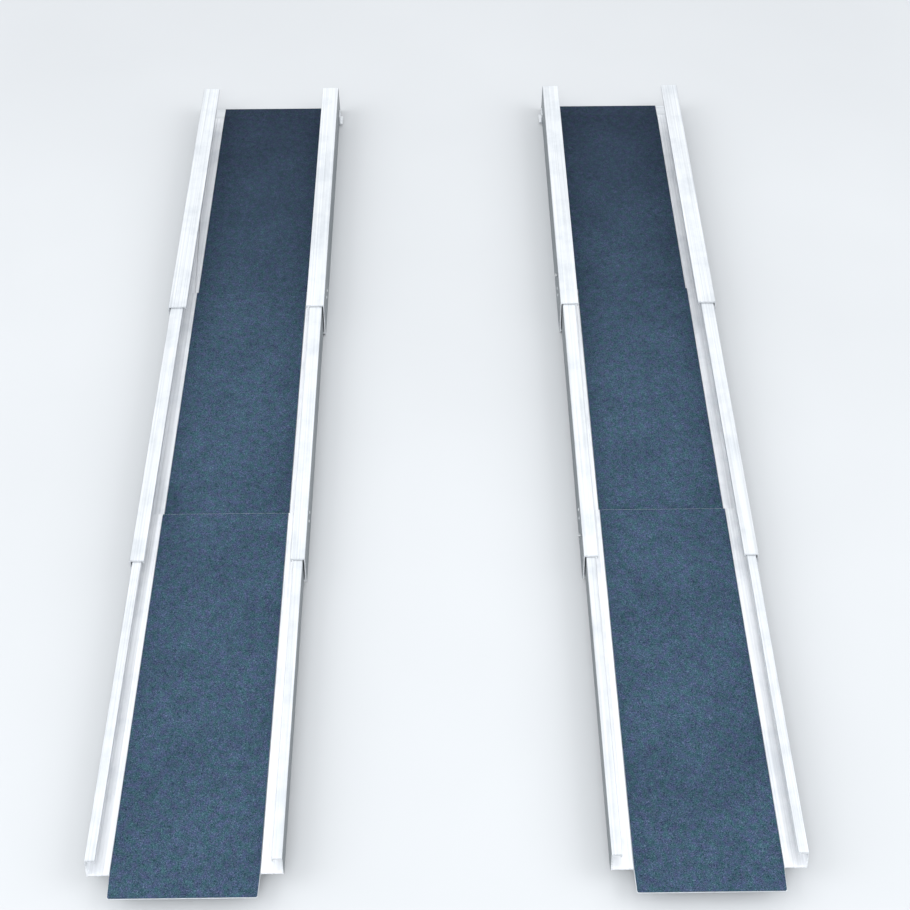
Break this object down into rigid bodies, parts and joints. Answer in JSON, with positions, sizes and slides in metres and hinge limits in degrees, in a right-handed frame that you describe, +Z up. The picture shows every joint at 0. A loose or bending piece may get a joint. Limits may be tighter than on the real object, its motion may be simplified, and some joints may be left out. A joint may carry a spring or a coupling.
{
  "type": "telescopic loading ramp",
  "caption": "Pair of telescopic channel loading ramps, each of nested sections with flanged side rails, a non-slip deck, glide shoes, stops, push-button locks and a ground lip.",
  "frame": {"origin": "bottom centre of the bounding box: midway between the two ramps and half-way along them, on the floor", "axes": "+X across the ramps to the right seen from the ground end, +Y along them towards the vehicle end, +Z up from the floor"},
  "size_m": [0.9636, 1.668, 0.057],
  "materials": {
    "rail_aluminium": "mill-finish extrusion, satin with fine drawing lines along its length",
    "plank_aluminium": "mill-finish extrusion, satin",
    "plate_aluminium": "brushed plate",
    "grit_sheet": "blue-grey abrasive non-slip sheet, coarse mineral grit, fully matt",
    "nylon": "black nylon, matt",
    "steel": "zinc plated",
    "rubber": "black moulded rubber"
  },
  "bodies": {
    "left_outer_section": {"left_outer_grit": "grit_sheet", "left_outer_lug_left": "plate_aluminium", "left_outer_lug_right": "plate_aluminium", "left_outer_plank": "plank_aluminium", "left_outer_rail_left": "rail_aluminium", "left_outer_rail_right": "rail_aluminium", "left_outer_sill_lip": "plate_aluminium", "left_outer_stop_left": "steel", "left_outer_stop_right": "steel", "left_outer_upper_button_spring": "steel"},
    "left_middle_section": {"left_middle_grit": "grit_sheet", "left_middle_lower_button_spring": "steel", "left_middle_plank": "plank_aluminium", "left_middle_rail_left": "rail_aluminium", "left_middle_rail_right": "rail_aluminium", "left_middle_shoe_left": "nylon", "left_middle_shoe_right": "nylon", "left_middle_stop_left": "steel", "left_middle_stop_right": "steel", "left_middle_upper_latch": "steel"},
    "left_inner_section": {"left_inner_grit": "grit_sheet", "left_inner_heel_bar": "rubber", "left_inner_lower_latch": "steel", "left_inner_plank": "plank_aluminium", "left_inner_rail_left": "rail_aluminium", "left_inner_rail_right": "rail_aluminium", "left_inner_shoe_left": "nylon", "left_inner_shoe_right": "nylon"},
    "left_upper_button": {"left_outer_upper_button": "steel"},
    "left_lower_button": {"left_middle_lower_button": "steel"},
    "right_outer_section": {"right_outer_grit": "grit_sheet", "right_outer_lug_left": "plate_aluminium", "right_outer_lug_right": "plate_aluminium", "right_outer_plank": "plank_aluminium", "right_outer_rail_left": "rail_aluminium", "right_outer_rail_right": "rail_aluminium", "right_outer_sill_lip": "plate_aluminium", "right_outer_stop_left": "steel", "right_outer_stop_right": "steel", "right_outer_upper_button_spring": "steel"},
    "right_middle_section": {"right_middle_grit": "grit_sheet", "right_middle_lower_button_spring": "steel", "right_middle_plank": "plank_aluminium", "right_middle_rail_left": "rail_aluminium", "right_middle_rail_right": "rail_aluminium", "right_middle_shoe_left": "nylon", "right_middle_shoe_right": "nylon", "right_middle_stop_left": "steel", "right_middle_stop_right": "steel", "right_middle_upper_latch": "steel"},
    "right_inner_section": {"right_inner_grit": "grit_sheet", "right_inner_heel_bar": "rubber", "right_inner_lower_latch": "steel", "right_inner_plank": "plank_aluminium", "right_inner_rail_left": "rail_aluminium", "right_inner_rail_right": "rail_aluminium", "right_inner_shoe_left": "nylon", "right_inner_shoe_right": "nylon"},
    "right_upper_button": {"right_outer_upper_button": "steel"},
    "right_lower_button": {"right_middle_lower_button": "steel"}
  },
  "joints": [
    {"name": "ramp_spacing", "type": "slide", "parent": "left_outer_section", "child": "right_outer_section", "axis": [1, 0, 0], "range_m": [-0.36, 0.5]},
    {"name": "left_middle_slide", "type": "slide", "parent": "left_outer_section", "child": "left_middle_section", "axis": [0, 1, 0], "range_m": [0, 0.465]},
    {"name": "left_inner_slide", "type": "slide", "parent": "left_middle_section", "child": "left_inner_section", "axis": [0, 1, 0], "range_m": [0, 0.42]},
    {"name": "left_upper_button_press", "type": "slide", "parent": "left_outer_section", "child": "left_upper_button", "axis": [1, 0, 0], "range_m": [0, 0.0012], "stiffness_N_per_m": 700, "springref_m": -0.002, "deforming": ["left_outer_upper_button_spring"]},
    {"name": "left_lower_button_press", "type": "slide", "parent": "left_middle_section", "child": "left_lower_button", "axis": [1, 0, 0], "range_m": [0, 0.0012], "stiffness_N_per_m": 700, "springref_m": -0.002, "deforming": ["left_middle_lower_button_spring"]},
    {"name": "right_middle_slide", "type": "slide", "parent": "right_outer_section", "child": "right_middle_section", "axis": [0, 1, 0], "range_m": [0, 0.465]},
    {"name": "right_inner_slide", "type": "slide", "parent": "right_middle_section", "child": "right_inner_section", "axis": [0, 1, 0], "range_m": [0, 0.42]},
    {"name": "right_upper_button_press", "type": "slide", "parent": "right_outer_section", "child": "right_upper_button", "axis": [1, 0, 0], "range_m": [0, 0.0012], "stiffness_N_per_m": 700, "springref_m": -0.002, "deforming": ["right_outer_upper_button_spring"]},
    {"name": "right_lower_button_press", "type": "slide", "parent": "right_middle_section", "child": "right_lower_button", "axis": [1, 0, 0], "range_m": [0, 0.0012], "stiffness_N_per_m": 700, "springref_m": -0.002, "deforming": ["right_middle_lower_button_spring"]}
  ]
}
